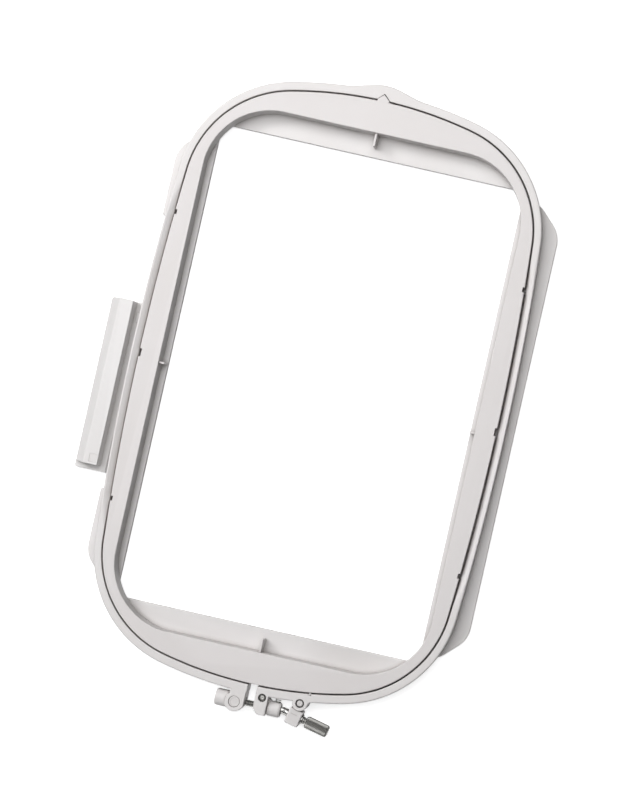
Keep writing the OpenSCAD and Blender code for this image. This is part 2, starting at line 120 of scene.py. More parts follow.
def mirrored(quarter):
    """Whole outline, counter-clockwise, from its quarter with positive x and y."""
    return np.vstack((quarter, (quarter * (-1, 1))[-2::-1],
                      (-quarter)[1:], (quarter * (1, -1))[-2:0:-1]))


def soft_rect(half, radius, steps=24):
    corner = np.array(half) - radius
    turn = arc(corner, radius, 0, QUARTER_TURN, steps)
    return mirrored(np.vstack(([[half[0], 0]], turn, [[0, half[1]]])))


def span(x, y):
    """Rectangle between two values of x and two of y."""
    return np.array([(x[0], y[0]), (x[1], y[0]), (x[1], y[1]), (x[0], y[1])], float)


def soften(points, radius, closed=True, steps=4):
    """Rounds a polyline's corners: curves leave its edges at this distance from each corner."""
    points = np.asarray(points, float)
    reach = np.broadcast_to(radius, len(points))
    curve = []
    for i, p in enumerate(points):
        if not closed and i in (0, len(points) - 1):
            curve.append(p)
            continue
        ends = []
        for q in (points[i - 1], points[(i + 1) % len(points)]):
            length = np.linalg.norm(q - p)
            ends.append(p + (q - p) * min(reach[i] / length, 0.48))
        for t in np.linspace(0, 1, steps + 1):
            curve.append((1 - t) ** 2 * ends[0] + 2 * t * (1 - t) * p + t * t * ends[1])
    return np.array(curve)


SIDE_C = np.array([SIDE_HALF - SIDE_R, 0.0])
END_C = np.array([0.0, END_HALF - END_R])


def corner_centre():
    """Centre of the corner arc, which touches the side arc and the end arc from inside."""
    between = END_C - SIDE_C
    d = np.linalg.norm(between)
    u = between / d
    r_side, r_end = SIDE_R - CORNER_R, END_R - CORNER_R
    s = (r_side ** 2 - r_end ** 2 + d * d) / (2 * d)
    return SIDE_C + s * u + math.sqrt(r_side ** 2 - s * s) * np.array([-u[1], u[0]])


CORNER_C = corner_centre()
SIDE_TURN = math.atan2(CORNER_C[1] - SIDE_C[1], CORNER_C[0] - SIDE_C[0])
END_TURN = math.atan2(CORNER_C[1] - END_C[1], CORNER_C[0] - END_C[0])


def outline(d):
    """Outline of the hoops, moved outwards by d from the parting line."""
    return mirrored(np.vstack((
        arc(SIDE_C, SIDE_R + d, 0, SIDE_TURN, 36),
        arc(CORNER_C, CORNER_R + d, SIDE_TURN, END_TURN, 40)[1:],
        arc(END_C, END_R + d, END_TURN, QUARTER_TURN, 32)[1:])))


def ramp(value, start, end):
    """0 up to start, 1 from end on, straight in between."""
    return np.clip((value - start) / (end - start), 0, 1)


def bump_at(points):
    """How far the outer wall swells out opposite the clamp."""
    near = (points[:, 1] > 0) & (abs(points[:, 0]) < BUMP_HALF)
    return np.where(near, BUMP_H * (1 + np.cos(HALF_TURN * points[:, 0] / BUMP_HALF)) / 2, 0)


# ---------------------------------------------------------------- solids
def add_object(name, data):
    obj = bpy.data.objects.new(name, data)
    bpy.context.scene.collection.objects.link(obj)
    return obj


def solid(name, points, faces):
    mesh = bpy.data.meshes.new(name)
    mesh.from_pydata([tuple(p) for p in points], [], faces)
    bm = bmesh.new()
    bm.from_mesh(mesh)
    bmesh.ops.recalc_face_normals(bm, faces=bm.faces)
    bm.to_mesh(mesh)
    bm.free()
    return add_object(name, mesh)


def loft(name, rings, round_trip=False):
    """Skin over rings of equal length. Its ends are capped, or its last ring joins the first."""
    rings = np.asarray(rings, float)
    count, size = rings.shape[:2]
    faces = []
    for i in range(count if round_trip else count - 1):
        a, b = i * size, (i + 1) % count * size
        faces += [(a + j, a + (j + 1) % size, b + (j + 1) % size, b + j) for j in range(size)]
    if not round_trip:
        faces.append(tuple(range(size))[::-1])
        faces.append(tuple(range((count - 1) * size, count * size)))
    return solid(name, rings.reshape(-1, 3), faces)


def mitres(loop):
    """For each corner of a counter-clockwise loop, the step that moves both its edges inwards by 1."""
    edge = np.roll(loop, -1, 0) - loop
    edge /= np.linalg.norm(edge, axis=1)[:, None]
    inward = np.column_stack((-edge[:, 1], edge[:, 0]))
    before = np.roll(inward, 1, 0)
    return (inward + before) / (1 + np.sum(inward * before, axis=1))[:, None]


def edge_round(radius, steps=3):
    """(step inwards, step down) along a rounded edge, from the flat face to the side."""
    if radius <= 0:
        return [(0, 0)]
    turns = np.linspace(0, QUARTER_TURN, steps + 1)
    return [(radius * (1 - math.sin(a)), radius * (1 - math.cos(a))) for a in turns]


def stack(name, loop, levels):
    """Solid on a loop with (step inwards, height) levels."""
    step = mitres(loop)
    rings = [np.column_stack((loop + inset * step, np.full(len(loop), z))) for inset, z in levels]
    return loft(name, rings)


def prism(name, loop, z, top=0.4, bottom=0.2):
    """Upright solid on a loop, with rounded top and bottom edges."""
    levels = [(i, z[0] + d) for i, d in edge_round(bottom)]
    levels += [(i, z[1] - d) for i, d in reversed(edge_round(top))]
    return stack(name, np.asarray(loop, float), levels)



def hole(loop, z, top=0.3, bottom=0.0):
    """Cutter for an opening from z[0] to z[1] whose rims are rounded. A rim of None is a blind end."""
    levels = [(0, z[0])] if bottom is None else [(-bottom, z[0] - OVER)] + [
        (-i, z[0] + d) for i, d in edge_round(bottom)]
    levels += [(0, z[1])] if top is None else [(-i, z[1] - d) for i, d in reversed(edge_round(top))] + [
        (-top, z[1] + OVER)]
    return stack("cutter", np.asarray(loop, float), levels)


def box(x, y, z):
    return prism("cutter", span(x, y), z, top=0, bottom=0)


def hull(name, corners, bevel):
    """Convex solid on these corners, with its edges rounded."""
    bm = bmesh.new()
    for c in corners:
        bm.verts.new(c)
    bmesh.ops.convex_hull(bm, input=bm.verts)
    bmesh.ops.dissolve_limit(bm, angle_limit=math.radians(1), verts=bm.verts, edges=bm.edges)
    if bevel > 0:
        bmesh.ops.bevel(bm, geom=bm.edges[:] + bm.verts[:], offset=bevel, segments=3, profile=0.5,
                        affect="EDGES", clamp_overlap=True)
    bmesh.ops.recalc_face_normals(bm, faces=bm.faces)
    mesh = bpy.data.meshes.new(name)
    bm.to_mesh(mesh)
    bm.free()
    return add_object(name, mesh)


def block(name, x, y, z, bevel=0.4):
    return hull(name, [(a, b, c) for a in x for b in y for c in z], bevel)


def turned(name, profile, place, segments=56):
    """Turned solid with closed ends: (radius, height) points up its axis."""
    turns = np.linspace(0, 2 * HALF_TURN, segments, endpoint=False)
    rings = [np.column_stack((r * np.cos(turns), r * np.sin(turns), np.full(segments, h)))
             for r, h in profile]
    obj = loft(name, rings)
    obj.data.transform(place)
    return obj


def bored(name, profile, place, segments=56, teeth=0, tooth=0.0):
    """Turned solid with a bore: a closed loop of (radius, height) points. Teeth cut its inner edge."""
    radii, heights = np.array(profile, float).T
    at_bore = radii < radii.min() + tooth
    rings = []
    for a in np.linspace(0, 2 * HALF_TURN, segments, endpoint=False):
        gap = tooth if teeth and math.cos(teeth * a) > 0 else 0
        r = radii + gap * at_bore
        rings.append(np.column_stack((r * math.cos(a), r * math.sin(a), heights)))
    obj = loft(name, rings, round_trip=True)
    obj.data.transform(place)
    return obj


def ridged(name, radius_at, height, place, around, along):
    """Bar whose radius is a function of angle and height: threads and knurls."""
    turns = np.linspace(0, 2 * HALF_TURN, around, endpoint=False)
    rings = []
    for h in np.linspace(height[0], height[1], along + 1):
        r = radius_at(turns, h)
        rings.append(np.column_stack((r * np.cos(turns), r * np.sin(turns), np.full(around, h))))
    obj = loft(name, rings)
    obj.data.transform(place)
    return obj


def coil(name, centre_line, wire_r, sides=12):
    """Round wire along a line of points."""
    line = np.asarray(centre_line)
    ahead = np.gradient(line, axis=0)
    ahead /= np.linalg.norm(ahead, axis=1)[:, None]
    side = np.cross(ahead, (0, 1, 0))
    side /= np.linalg.norm(side, axis=1)[:, None]
    up = np.cross(side, ahead)
    turns = np.linspace(0, 2 * HALF_TURN, sides, endpoint=False)
    rings = [p + wire_r * (np.outer(np.cos(turns), s) + np.outer(np.sin(turns), u))
             for p, s, u in zip(line, side, up)]
    return loft(name, rings)


# ---------------------------------------------------------------- joining and cutting
def combine(obj, others, operation):
    for other in others:
        change = obj.modifiers.new("combine", "BOOLEAN")
        change.operation = operation
        change.solver = "MANIFOLD"
        change.object = other
    graph = bpy.context.evaluated_depsgraph_get()
    mesh = bpy.data.meshes.new_from_object(obj.evaluated_get(graph))
    obj.modifiers.clear()
    obj.data = mesh
    for other in others:
        bpy.data.objects.remove(other)
    return obj


def join(obj, *others):
    return combine(obj, others, "UNION")


def cut(obj, *others):
    return combine(obj, others, "DIFFERENCE")


def keep(obj, *others):
    return combine(obj, others, "INTERSECT")


# ---------------------------------------------------------------- places
def upright(point, z=0.0):
    """Sets a piece's own Z upright on a point."""
    return Matrix.Translation((point[0], point[1], z))


def along_x(x=0.0, y=NUT[1]):
    """Turns a piece's own Z to +X and sets it on the clamp's axis."""
    return Matrix.Translation((x, y, CLAMP_Z)) @ Matrix.Rotation(QUARTER_TURN, 4, "Y")


SCREW_FRAME = Matrix.Translation((KNUCKLE[0], KNUCKLE[1], CLAMP_Z)) @ Matrix.Rotation(SCREW_TILT, 4, "Z")
ALONG_SCREW = SCREW_FRAME @ Matrix.Rotation(QUARTER_TURN, 4, "Y")


def in_screw_frame(obj):
    """Moves a piece made along +X from the origin to the thumbscrew's axis, from the knuckle on."""
    obj.data.transform(SCREW_FRAME)
    return obj


# ---------------------------------------------------------------- node materials
class Nodes:
    """Short way to write a material's node tree."""

    def __init__(self, name):
        self.material = bpy.data.materials.new(name)
        self.material.use_nodes = True
        self.tree = self.material.node_tree
        self.shader = self.tree.nodes["Principled BSDF"]
        self.coordinates = self.add("ShaderNodeTexCoord").outputs["Object"]

    def add(self, kind, inputs=None, **settings):
        node = self.tree.nodes.new(kind)
        for key, value in settings.items():
            setattr(node, key, value)
        for key, value in (inputs or {}).items():
            self.feed(node.inputs[key], value)
        return node

    def feed(self, socket, value):
        if isinstance(value, bpy.types.NodeSocket):
            self.tree.links.new(value, socket)
        else:
            socket.default_value = value

    def noise(self, size_mm, detail=3.0):
        """Noise with features of about this size."""
        node = self.add("ShaderNodeTexNoise", {"Vector": self.coordinates, "Scale": 1 / (size_mm * MM),
                                               "Detail": detail})
        return node.outputs["Fac"]

    def spread(self, value, low, high, start=0.3, end=0.7):
        """Value turned from the range start..end into the range low..high."""
        node = self.add("ShaderNodeMapRange", {"Value": value, "From Min": start, "From Max": end,
                                               "To Min": low, "To Max": high})
        return node.outputs["Result"]

    def mix(self, factor, a, b):
        """Colour between a and b."""
        node = self.add("ShaderNodeMix", data_type="RGBA")
        self.feed(node.inputs[0], factor)
        self.feed(node.inputs[6], a)
        self.feed(node.inputs[7], b)
        return node.outputs[2]

    def bump(self, height, strength, distance_mm, normal=None):
        node = self.add("ShaderNodeBump", {"Height": height, "Strength": strength,
                                           "Distance": distance_mm * MM})
        if normal is not None:
            self.feed(node.inputs["Normal"], normal)
        return node.outputs["Normal"]

    def edges(self, start=0.51, end=0.56):
        """1 on sharp outer edges, 0 on faces."""
        point = self.add("ShaderNodeNewGeometry").outputs["Pointiness"]
        return self.spread(point, 0.0, 1.0, start, end)

    def hollows(self, distance_mm):
        """1 in tight corners, 0 on open faces: the mask for painted shade."""
        node = self.add("ShaderNodeAmbientOcclusion", {"Distance": distance_mm * MM}, samples=6)
        return self.spread(node.outputs["AO"], 1.0, 0.0, 0.25, 0.95)

    def finish(self, **inputs):
        names = {"colour": "Base Color", "roughness": "Roughness", "metallic": "Metallic",
                 "normal": "Normal", "specular": "Specular IOR Level"}
        for key, value in inputs.items():
            self.feed(self.shader.inputs[names[key]], value)
        return self.material


def tone(colour, factor, warmth=0.0):
    """The colour made lighter or darker, and warmer or cooler."""
    r, g, b = colour
    return (r * factor * (1 + warmth), g * factor, b * factor * (1 - warmth), 1)


def moulded_plastic(name, colour, shine=0.42):
    """Off-white moulded plastic: faint mottling, spark-eroded grain, rubbed edges, painted shade in tight
    corners.
    """
    n = Nodes(name)
    base = n.mix(n.spread(n.noise(38, 2), 0, 1), tone(colour, 0.975, 0.006), tone(colour, 1.02, -0.004))
    speck = n.spread(n.noise(0.9, 2), 0, 0.35, 0.62, 0.75)
    base = n.mix(speck, base, tone(colour, 0.93))
    base = n.mix(n.edges(), base, tone(colour, 1.06, -0.002))
    # Painted shade: the colour darkens where the ambient-occlusion mask finds tight corners.
    base = n.mix(n.hollows(2.5), base, tone(colour, 0.62, 0.03))
    normal = n.bump(n.noise(0.28, 3), 0.22, 0.06)
    normal = n.bump(n.noise(14, 1), 0.25, 0.16, normal)
    rough = n.spread(n.noise(6, 3), shine - 0.05, shine + 0.08)
    return n.finish(colour=base, roughness=rough, normal=normal, specular=0.42)


def steel(name, colour, rough, stain=0.5):
    """Worn steel: fine scuffs, cloudy tarnish, brighter edges, painted shade in the hollows."""
    n = Nodes(name)
    base = n.mix(n.spread(n.noise(2.2, 4), 0, 1), tone(colour, 1.05), tone(colour, 1 - 0.35 * stain, 0.02))
    base = n.mix(n.edges(0.52, 0.6), base, tone(colour, 1.35))
    # Painted shade: the colour darkens strongly in the hollows that the ambient-occlusion mask finds.
    base = n.mix(n.hollows(0.8), base, tone(colour, 0.3, 0.05))
    normal = n.bump(n.noise(0.12, 2), 0.35, 0.02)
    normal = n.bump(n.noise(0.6, 3), 0.2, 0.02, normal)
    rough_map = n.spread(n.noise(1.1, 3), rough - 0.07, rough + 0.1)
    return n.finish(colour=base, roughness=rough_map, metallic=1.0, normal=normal)


PLASTIC = (0.645, 0.625, 0.62)
INNER_PLASTIC = (0.61, 0.585, 0.58)
MATERIALS = {
    "outer_plastic": moulded_plastic("outer_plastic", PLASTIC),
    "inner_plastic": moulded_plastic("inner_plastic", INNER_PLASTIC, shine=0.46),
    "connector_plastic": moulded_plastic("connector_plastic", (0.645, 0.63, 0.625), shine=0.38),
    "clamp_plastic": moulded_plastic("clamp_plastic", (0.625, 0.605, 0.6), shine=0.4),
    "plated_steel": steel("plated_steel", (0.42, 0.42, 0.41), 0.3),
    "knob_steel": steel("knob_steel", (0.33, 0.33, 0.32), 0.46),
    "dark_steel": steel("dark_steel", (0.09, 0.088, 0.085), 0.42, stain=0.8),
    "zinc_steel": steel("zinc_steel", (0.6, 0.6, 0.58), 0.36),
}

SHARP_ANGLE = math.radians(32)


def settle(obj, node, body, slot, finish=None):
    """Final mesh in metres, its finish, the node it stands for and the body it rides on."""
    bm = bmesh.new()
    bm.from_mesh(obj.data)
    bmesh.ops.remove_doubles(bm, verts=bm.verts, dist=0.002)
    bmesh.ops.dissolve_degenerate(bm, edges=bm.edges, dist=0.001)
    bm.to_mesh(obj.data)
    bm.free()
    obj.data.transform(Matrix.Scale(MM, 4))
    obj.data.polygons.foreach_set("use_smooth", [True] * len(obj.data.polygons))
    obj.data.set_sharp_from_angle(angle=SHARP_ANGLE)
    obj.modifiers.new("even shading", "WEIGHTED_NORMAL").keep_sharp = True
    obj.data.materials.clear()
    obj.data.materials.append(MATERIALS[finish or slot])
    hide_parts(node)
    if isinstance(body, str):
        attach(obj, body)
    return obj


# ---------------------------------------------------------------- outer hoop
TOP_ROUND, RIM_ROUND, FOOT_ROUND, UNDER_ROUND = 0.9, 0.45, 0.5, 0.3
TOP_SHARES = (0.2, 0.4, 0.6, 0.8, 0.93)   # where the sloping top has points, as shares of the wall
LONG_SIDE_X = SIDE_HALF * 0.6             # further out than this, the wall is a long side


def wall_plan(base):
    """Along the outline: the wall's inner face, the direction across the wall, and its thickness."""
    normal = outline(1) - base
    inner = base + IN_D * normal
    outer = base + (OUT_D + bump_at(base))[:, None] * normal
    outer[:, 1] *= 1 + WALL_EXTRA / (END_HALF + OUT_D)
    width = np.linalg.norm(outer - inner, axis=1)
    return inner, (outer - inner) / width[:, None], width


def slope_share(base):
    """Along the outline: 1 where the wall's top slopes in full, 0 where it is flat."""
    return np.where(abs(base[:, 0]) > LONG_SIDE_X, 1 - ramp(abs(base[:, 1]), *SLOPE_Y), 0)


def foot_reach(base):
    """Along the outline: width of the fillet on the flange, which fades where the flange ends."""
    x, y = base[:, 0], abs(base[:, 1])
    at_wing = np.where(x < 0, ramp(y, FLANGE_Y[0] + 0.5, FLANGE_Y[0] + 1.5), 1)
    return FOOT_ROUND * (1 - ramp(y, FLANGE_Y[1] + 4, FLANGE_Y[1] + 8)) * (abs(x) > LONG_SIDE_X) * at_wing


def outer_wall(name):
    """Closed sweep of the outer wall, with its swelling, its sloping top and rounded edges."""
    base = outline(0)
    inner, across, width = wall_plan(base)
    slope = slope_share(base)
    foot = foot_reach(base)
    crease = TOP_ROUND + (width - TOP_ROUND) * slope
    section = []

    def add_level(reach, z):
        points = inner + across * np.broadcast_to(reach, width.shape)[:, None]
        section.append(np.column_stack((points, np.broadcast_to(z, width.shape))))

    def top(reach):
        rise = np.clip(1 - reach / np.maximum(crease, TOP_ROUND), 0, 1) ** SLOPE_BEND
        return WALL_H - SLOPE_DROP * slope * rise

    add_level(0, UNDER_ROUND)
    add_level(0, INNER_FLOOR)
    for inset, depth in reversed(edge_round(RIM_ROUND)):
        add_level(inset, top(inset) - depth)
    for share in TOP_SHARES:
        reach = RIM_ROUND + (width - TOP_ROUND - RIM_ROUND) * share
        add_level(reach, top(reach))
    for inset, depth in edge_round(TOP_ROUND, steps=4):
        add_level(width - inset, top(width - inset) - depth)
    add_level(width, FLANGE_T + FOOT_ROUND + 0.05)
    add_level(width + 0.3 * foot, FLANGE_T + 0.3 * FOOT_ROUND)
    add_level(width + foot, FLANGE_T - 0.02)
    add_level(width, FLANGE_T - 0.1)
    for inset, depth in reversed(edge_round(UNDER_ROUND, steps=2)):
        add_level(width - inset, depth)
    add_level(UNDER_ROUND, 0)
    return loft(name, np.array(section).transpose(1, 0, 2), round_trip=True)


def arm_zone(bottom):
    """Where the wall belongs to the clamp arm."""
    return box((-BEYOND, GAP_X[0]), (-BEYOND, FLEX_Y), (bottom, WALL_H + OVER))


def flange_plates():
    """The base flange: a strip under the wall, and what stands out on both long sides."""
    near, far = FLANGE_Y
    cut_x, cut_y = FLANGE_CUT
    right = [(0, -far - cut_y), (FLANGE_FAR - cut_x, -far - cut_y), (FLANGE_FAR, -far), (FLANGE_FAR, far),
             (FLANGE_FAR - cut_x, far + cut_y), (0, far + cut_y)]
    rounding = (SHARP, WING_R, WING_R, WING_R, WING_R, SHARP)
    plates = [prism("plate", soften(right, rounding), (0, FLANGE_T), *FLANGE_EDGES),
              prism("plate", outline((IN_D + OUT_D) / 2), (0, FLANGE_T), top=0, bottom=0)]
    for s in (-1, 1):
        loop = [(0, s * near), (FLANGE_NEAR, s * near), (FLANGE_NEAR, s * far),
                (FLANGE_NEAR + cut_x, s * (far + cut_y)), (0, s * (far + cut_y))]
        loop = soften(loop, (SHARP, 1, WING_R, WING_R, SHARP))[::-s]
        plates.append(prism("plate", loop, (0, FLANGE_T), *FLANGE_EDGES))
    return plates


LUG_CHAMFER = (2.5, 2.9)


def right_lug():
    """Lug on the right of the clamp gap, which carries the guide sleeve; its corner is chamfered."""
    left, right = LUG_X
    loop = [(left, ROOT_Y), (left, LUG_Y + LUG_CHAMFER[1]), (left + LUG_CHAMFER[0], LUG_Y),
            (right, LUG_Y), (right, ROOT_Y)]
    return prism("lug", soften(loop, (0.3, 1.2, 1.2, 0.5, 0.3)), (0, WALL_H), *FLANGE_EDGES)


LEG_R, LEG_ROOT_R = 4.0, 2.6


def leg():
    """Round-ended leg that carries the release block, with a soft root on its outer side."""
    x, y = RELEASE_PIVOT
    root_x = x + LEG_R + LEG_ROOT_R
    end = arc((x, y), LEG_R, HALF_TURN, 2 * HALF_TURN, 24)
    root = arc((root_x, y - 0.6), LEG_ROOT_R, HALF_TURN, QUARTER_TURN, 6)
    loop = np.vstack(([(x - LEG_R, ROOT_Y + 0.6)], end, root, [(root_x, ROOT_Y + 1.8)]))
    return prism("leg", loop, (0, WALL_H), *FLANGE_EDGES)


PIN_FIT, TURN_FIT = 0.02, 0.05            # radial clearance of fixed parts and of parts that turn
GUIDE_PIN_R, GUIDE_BOSS_R = 1.25, 2.15
RELEASE_PIN_R, RELEASE_BOSS_R = 1.6, 2.3
BOSS_DEPTH = 1.1                          # sunk rounds that hold the pins' retaining rings
POINTER_HALF, POINTER_Y = 3.1, (END_HALF - 1.5, END_HALF + 0.5, END_HALF + 3.3)
NOTCH_ROOM, NOTCH_FLOOR = 0.35, 7.0
TONGUE_ROOM, TONGUE_ROOF = 0.4, 0.1
BRACKET_HOLE_TOP = 8.4


def pointer_loop(room=0.0):
    """Outline of the inner hoop's pointer; with room added, of its notch in the outer hoop."""
    root, shoulder, tip = POINTER_Y
    w = POINTER_HALF + room
    return [(-w, root), (w, root), (w, shoulder), (0, tip + 1.6 * room), (-w, shoulder)]


def spring_seat(y, towards, depth):
    """Cutter for the round seat of one end of the return spring."""
    place = Matrix.Translation((SPRING_X, y, CLAMP_Z)) @ Matrix.Rotation(towards * QUARTER_TURN, 4, "X")
    return turned("cutter", [(SPRING_SEAT_R, 0), (SPRING_SEAT_R, depth)], place)


def clamp_cutters():
    """The clamp gap, the slots in the lug and the leg, the pins' holes and the spring's seat."""
    x, y = RELEASE_PIVOT
    slot_x = (x - LEG_R - 1.5, x + LEG_R + 1.5)
    cutters = [
        box(GAP_X, (-BEYOND, -END_HALF + 0.4), (-OVER, WALL_H + OVER)),
        box((LUG_X[0] - OVER, LUG_X[1] + OVER), (LUG_Y - OVER, GUIDE_PIVOT[1] + EAR_R + 0.4), FORK_Z),
        box(slot_x, (y - LEG_R - 2, y + EAR_R + 0.2), FORK_Z)]
    for p, r, boss in ((GUIDE_PIVOT, GUIDE_PIN_R, GUIDE_BOSS_R),
                       (RELEASE_PIVOT, RELEASE_PIN_R, RELEASE_BOSS_R)):
        cutters.append(hole(circle(p, r + PIN_FIT), (0, WALL_H - 0.2), top=0, bottom=0.2))
        cutters.append(hole(circle(p, boss), (WALL_H - BOSS_DEPTH, WALL_H), top=0.2, bottom=None))
    return cutters + [spring_seat(SPRING_Y[1] + 0.3, towards=1, depth=4)]


def outer_hoop():
    """Wall, flange and the right-hand half of the clamp, in one moulding."""
    hoop = cut(outer_wall("outer_hoop"), arm_zone(FLANGE_T))
    join(hoop, *flange_plates(), right_lug(), leg())
    cut(hoop, hole(soft_rect(WINDOW_HALF, WINDOW_R), (0, FLANGE_T), *FLANGE_EDGES), *clamp_cutters())
    cut(hoop, hole(pointer_loop(NOTCH_ROOM), (NOTCH_FLOOR, WALL_H), top=0.15, bottom=None))
    cut(hoop, box((TONGUE_X[0] - OVER, TONGUE_X[1] + TONGUE_ROOM),
                  (TONGUE_Y[0] - TONGUE_ROOM, TONGUE_Y[1] + TONGUE_ROOM), (-OVER, TONGUE_T + TONGUE_ROOF)))
    cut(hoop, *[hole(circle(p, SCREW_R + PIN_FIT, 24), (0, BRACKET_HOLE_TOP), top=None, bottom=0)
                for p in BRACKET_SCREWS])
    return settle(hoop, "outer_frame", "outer", "outer_plastic")


NUT_R, LUG_R, SLIT = 3.0, 5.2, 0.4
LUG_ARC = (math.radians(131), math.radians(310))
LOW_ROOT_Y = -162.5                       # below the slit, the lug starts further out
ROD_SLOT_X, ROD_SLOT = (-15, -1), (5.6, 4.2)


def arm_lug(root_y):
    """Outline of the arm's lug, round about the swivel nut."""
    x, y = NUT
    left = arc((x, y), LUG_R, *LUG_ARC, 28)
    return np.vstack(([(ARM_LUG_X, root_y)], left, [(GAP_X[0], y - 1.8), (GAP_X[0], root_y)]))


def clamp_arm():
    """Free stretch of the wall, which carries the left-hand half of the clamp."""
    arm = keep(outer_wall("clamp_arm_wall"), arm_zone(FLANGE_T + SLIT))
    join(arm, prism("lug", arm_lug(ROOT_Y), (FLANGE_T + SLIT, WALL_H), top=0.5, bottom=0.2),
         prism("lug", arm_lug(LOW_ROOT_Y), (0, WALL_H - OVER), top=0, bottom=0.3))
    slot_y, slot_z = ((at - size / 2, at + size / 2) for at, size in zip((NUT[1], CLAMP_Z), ROD_SLOT))
    cut(arm, hole(circle(NUT, NUT_R + TURN_FIT), (0, WALL_H), top=0.2, bottom=0.2),
        box(ROD_SLOT_X, slot_y, slot_z))
    settle(arm, "clamp_arm", None, "outer_plastic")
    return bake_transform(arm)


# ---------------------------------------------------------------- inner hoop
SIDE_RIBS = [y + 0.8 for y in range(-96, 97, 24)]
END_RIBS = list(range(-54, 55, 18))
RIB_T, RIB_FOOT = 1.6, INNER_FLOOR + 1.6


def groove_under_inner_hoop():
    """The hollow underneath, between the hoop's two walls, interrupted by its stiffening ribs."""
    half = np.array(OPENING_HALF) + INNER_T
    groove = prism("groove", outline(-IN_D - INNER_T), (INNER_FLOOR - OVER, INNER_TOP - INNER_T),
                   top=0.5, bottom=0)
    core = prism("core", soft_rect(half, OPENING_R + INNER_T), (0, INNER_TOP), top=0, bottom=0)
    ribs = [box((-SIDE_HALF, SIDE_HALF), (y - RIB_T / 2, y + RIB_T / 2), (RIB_FOOT, INNER_TOP))
            for y in SIDE_RIBS]
    ribs += [box((x - RIB_T / 2, x + RIB_T / 2), (-END_HALF, END_HALF), (RIB_FOOT, INNER_TOP))
             for x in END_RIBS]
    return cut(groove, core, *ribs)


def centre_fins():
    """Four thin fins on the wall of the opening that mark the centre lines."""
    z = (INNER_FLOOR, INNER_TOP - INNER_T + 0.6)
    fins = []
    for s in (-1, 1):
        ends = sorted((s * (OPENING_HALF[1] - END_FIN), s * (OPENING_HALF[1] + OVER)))
        at_end = span((-FIN_T / 2, FIN_T / 2), ends)
        ends = sorted((s * (OPENING_HALF[0] - SIDE_FIN), s * (OPENING_HALF[0] + OVER)))
        at_side = span(ends, (SIDE_FIN_Y - FIN_T / 2, SIDE_FIN_Y + FIN_T / 2))
        fins += [prism("fin", soften(loop, 0.35), z, top=0.3, bottom=0.2) for loop in (at_end, at_side)]
    return fins


def side_marks():
    """Cutters for the small notches along the outer edge of the inner hoop's long sides."""
    marks = []
    for s in (-1, 1):
        for y, half in zip(MARK_Y, MARK_HALF):
            x = s * (SIDE_HALF - IN_D - y * y / (2 * SIDE_R))
            loop = soften(span((x - MARK_DEPTH, x + MARK_DEPTH), (y - half, y + half)), 0.25)
            marks.append(hole(loop, (0, INNER_TOP), top=0.15, bottom=0))
    return marks


def inner_hoop():
    """Flat ring with a wall at either edge, hollow from below."""
    hoop = prism("inner_hoop", outline(-IN_D), (INNER_FLOOR, INNER_TOP), top=0.55, bottom=0.2)
    cut(hoop, hole(soft_rect(OPENING_HALF, OPENING_R, 32), (INNER_FLOOR, INNER_TOP), top=0.5, bottom=0.2),
        groove_under_inner_hoop())
    pointer = prism("pointer", pointer_loop(), (INNER_TOP - INNER_T, INNER_TOP), top=0.35, bottom=0.2)
    join(hoop, pointer, *centre_fins())
    cut(hoop, *side_marks())
    return settle(hoop, "inner_frame", "inner", "inner_plastic")


# ---------------------------------------------------------------- connector
BRACKET_HEAD_R, COVER_HEAD_R = 2.3, 1.9
SHELL_Z = FLANGE_T + 0.02
BOSS_R, BOSS_TOP, BOSS_HOLE_TOP = 2.1, 6.4, 5.4
WALL_ROOM = 0.15                          # between the plate and the outer wall


def connector_base():
    """Plate that the connector is built on, with the tongue that reaches in under the outer wall."""
    loop = soften(span((CONNECTOR_X, TONGUE_X[0] + 1.2), CONNECTOR_Y), (1.2, 0.3, 0.3, 1.2))
    plate = prism("connector_base", loop, (0, FLANGE_T), top=0.4, bottom=0.3)
    cut(plate, prism("cutter", outline(OUT_D + WALL_ROOM), (-OVER, FLANGE_T + OVER), top=0, bottom=0))
    join(plate, block("tongue", (TONGUE_X[0] - 0.6, TONGUE_X[1]), TONGUE_Y, (0, TONGUE_T), bevel=0.3),
         block("pad", PAD_X, PAD_Y, (FLANGE_T - 0.5, FLANGE_T + 0.5), bevel=0.2))
    for places, head_r in ((BRACKET_SCREWS, BRACKET_HEAD_R), (COVER_SCREWS, COVER_HEAD_R)):
        shanks = [hole(circle(p, SCREW_R + PIN_FIT, 24), (0, FLANGE_T + OVER), top=0, bottom=0)
                  for p in places]
        heads = [hole(circle(p, head_r + PIN_FIT), (0, SCREW_HEAD_H), top=None, bottom=0.1)
                 for p in places]
        cut(plate, *shanks, *heads)
    return settle(plate, "connector_bracket", "outer", "connector_plastic")


def shell_corners(inset, y):
    """Corners of the raised block, whose outer long face slopes, or of the room inside it."""
    foot = SHELL_Z - (OVER if inset else 0)
    section = [(CONNECTOR_X + 0.2 + 1.6 * inset, foot), (BLOCK_X[0] + 0.45 * inset, CONNECTOR_H - inset),
               (BLOCK_X[1] - inset, CONNECTOR_H - inset), (BLOCK_X[1] - inset, foot)]
    return [(x, end, z) for x, z in section for end in y]


